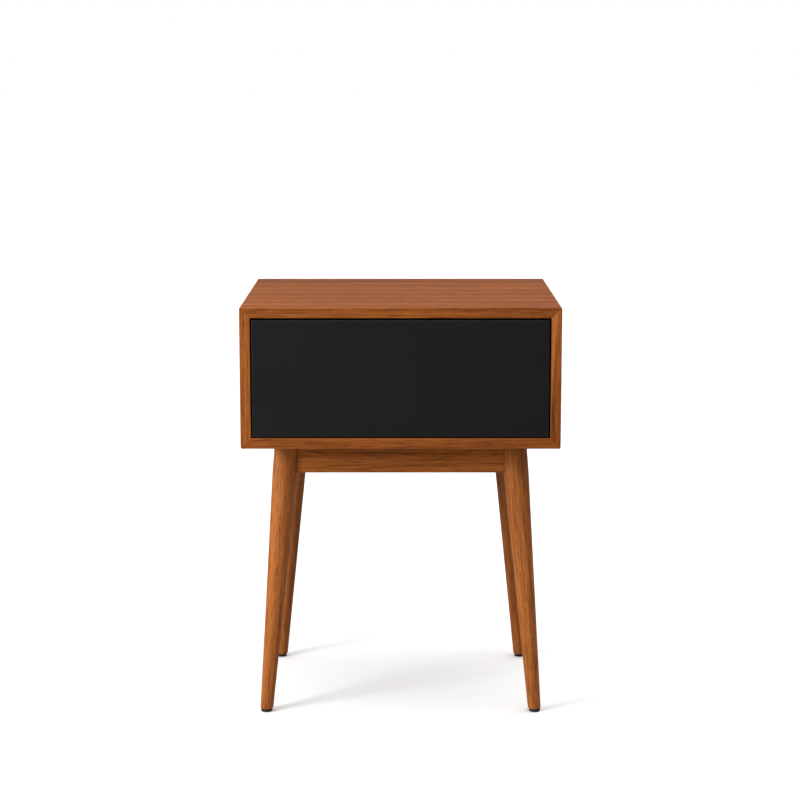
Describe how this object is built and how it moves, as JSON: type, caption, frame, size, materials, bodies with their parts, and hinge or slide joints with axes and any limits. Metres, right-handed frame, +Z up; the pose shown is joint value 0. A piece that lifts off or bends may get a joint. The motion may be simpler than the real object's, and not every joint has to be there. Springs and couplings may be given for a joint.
{
  "type": "nightstand",
  "caption": "Mid-century nightstand: a mitred wooden case with a flush push-to-open drawer, on splayed tapered round legs joined by aprons.",
  "frame": {"origin": "on the floor, under the middle of the case", "axes": "+Z up; the drawer front faces -Y and opens towards -Y; +X is to the right seen from the front"},
  "size_m": [0.46, 0.4, 0.612],
  "materials": {
    "walnut": "satin lacquer over a reddish walnut stain",
    "black_paint": "matte black paint on board",
    "plywood": "clear-coated birch plywood",
    "beech": "raw beech",
    "black_steel": "black electro-coated steel",
    "zinc_steel": "bright zinc plating",
    "bearing_steel": "polished bearing steel",
    "glide_plastic": "black nylon",
    "latch_plastic": "grey nylon"
  },
  "bodies": {
    "case": {"top_panel": "walnut", "bottom_panel": "walnut", "left_side_panel": "walnut", "right_side_panel": "walnut", "back_panel": "walnut", "leg_front_left": "walnut", "glide_front_left": "glide_plastic", "corner_block_front_left": "beech", "base_screw_front_left": "zinc_steel", "leg_front_right": "walnut", "glide_front_right": "glide_plastic", "corner_block_front_right": "beech", "base_screw_front_right": "zinc_steel", "leg_back_left": "walnut", "glide_back_left": "glide_plastic", "corner_block_back_left": "beech", "base_screw_back_left": "zinc_steel", "leg_back_right": "walnut", "glide_back_right": "glide_plastic", "corner_block_back_right": "beech", "base_screw_back_right": "zinc_steel", "apron_front": "walnut", "apron_back": "walnut", "apron_left": "walnut", "apron_right": "walnut", "slide_case_member_left": "black_steel", "case_slide_screw_left_front": "zinc_steel", "case_slide_screw_left_rear": "zinc_steel", "slide_case_member_right": "black_steel", "case_slide_screw_right_front": "zinc_steel", "case_slide_screw_right_rear": "zinc_steel", "latch_housing": "latch_plastic", "latch_screw_left": "zinc_steel", "latch_screw_right": "zinc_steel"},
    "latch_plunger": {"latch_plunger": "latch_plastic"},
    "drawer": {"drawer_front": "black_paint", "drawer_box_front": "plywood", "drawer_box_back": "plywood", "drawer_box_bottom": "plywood", "drawer_box_side_left": "plywood", "drawer_box_side_right": "plywood", "front_screw_lower_left": "zinc_steel", "front_screw_lower_right": "zinc_steel", "front_screw_upper_left": "zinc_steel", "front_screw_upper_right": "zinc_steel", "slide_drawer_member_left": "black_steel", "drawer_slide_screw_left_front": "zinc_steel", "drawer_slide_screw_left_rear": "zinc_steel", "slide_drawer_member_right": "black_steel", "drawer_slide_screw_right_front": "zinc_steel", "drawer_slide_screw_right_rear": "zinc_steel", "strike_plate": "zinc_steel"},
    "slide_middle_left": {"slide_middle_member_left": "black_steel"},
    "outer_cage_left": {"outer_ball_cage_left": "bearing_steel"},
    "inner_cage_left": {"inner_ball_cage_left": "bearing_steel"},
    "slide_middle_right": {"slide_middle_member_right": "black_steel"},
    "outer_cage_right": {"outer_ball_cage_right": "bearing_steel"},
    "inner_cage_right": {"inner_ball_cage_right": "bearing_steel"}
  },
  "joints": [
    {"name": "latch_push", "type": "slide", "parent": "case", "child": "latch_plunger", "axis": [0, -1, 0], "range_m": [-0.003, 0.01], "stiffness_N_per_m": 200},
    {"name": "drawer_slide", "type": "slide", "parent": "latch_plunger", "child": "drawer", "axis": [0, -1, 0], "range_m": [0, 0.3]},
    {"name": "slide_middle_run_left", "type": "slide", "parent": "case", "child": "slide_middle_left", "axis": [0, -1, 0], "range_m": [0, 0.15]},
    {"name": "outer_cage_run_left", "type": "slide", "parent": "case", "child": "outer_cage_left", "axis": [0, -1, 0], "range_m": [0, 0.075]},
    {"name": "inner_cage_run_left", "type": "slide", "parent": "case", "child": "inner_cage_left", "axis": [0, -1, 0], "range_m": [0, 0.225]},
    {"name": "slide_middle_run_right", "type": "slide", "parent": "case", "child": "slide_middle_right", "axis": [0, -1, 0], "range_m": [0, 0.15]},
    {"name": "outer_cage_run_right", "type": "slide", "parent": "case", "child": "outer_cage_right", "axis": [0, -1, 0], "range_m": [0, 0.075]},
    {"name": "inner_cage_run_right", "type": "slide", "parent": "case", "child": "inner_cage_right", "axis": [0, -1, 0], "range_m": [0, 0.225]}
  ],
  "couplings": [
    {"joint": "slide_middle_run_left", "follows": "drawer_slide", "ratio": 0.5},
    {"joint": "outer_cage_run_left", "follows": "drawer_slide", "ratio": 0.25},
    {"joint": "inner_cage_run_left", "follows": "drawer_slide", "ratio": 0.75},
    {"joint": "slide_middle_run_right", "follows": "drawer_slide", "ratio": 0.5},
    {"joint": "outer_cage_run_right", "follows": "drawer_slide", "ratio": 0.25},
    {"joint": "inner_cage_run_right", "follows": "drawer_slide", "ratio": 0.75}
  ]
}
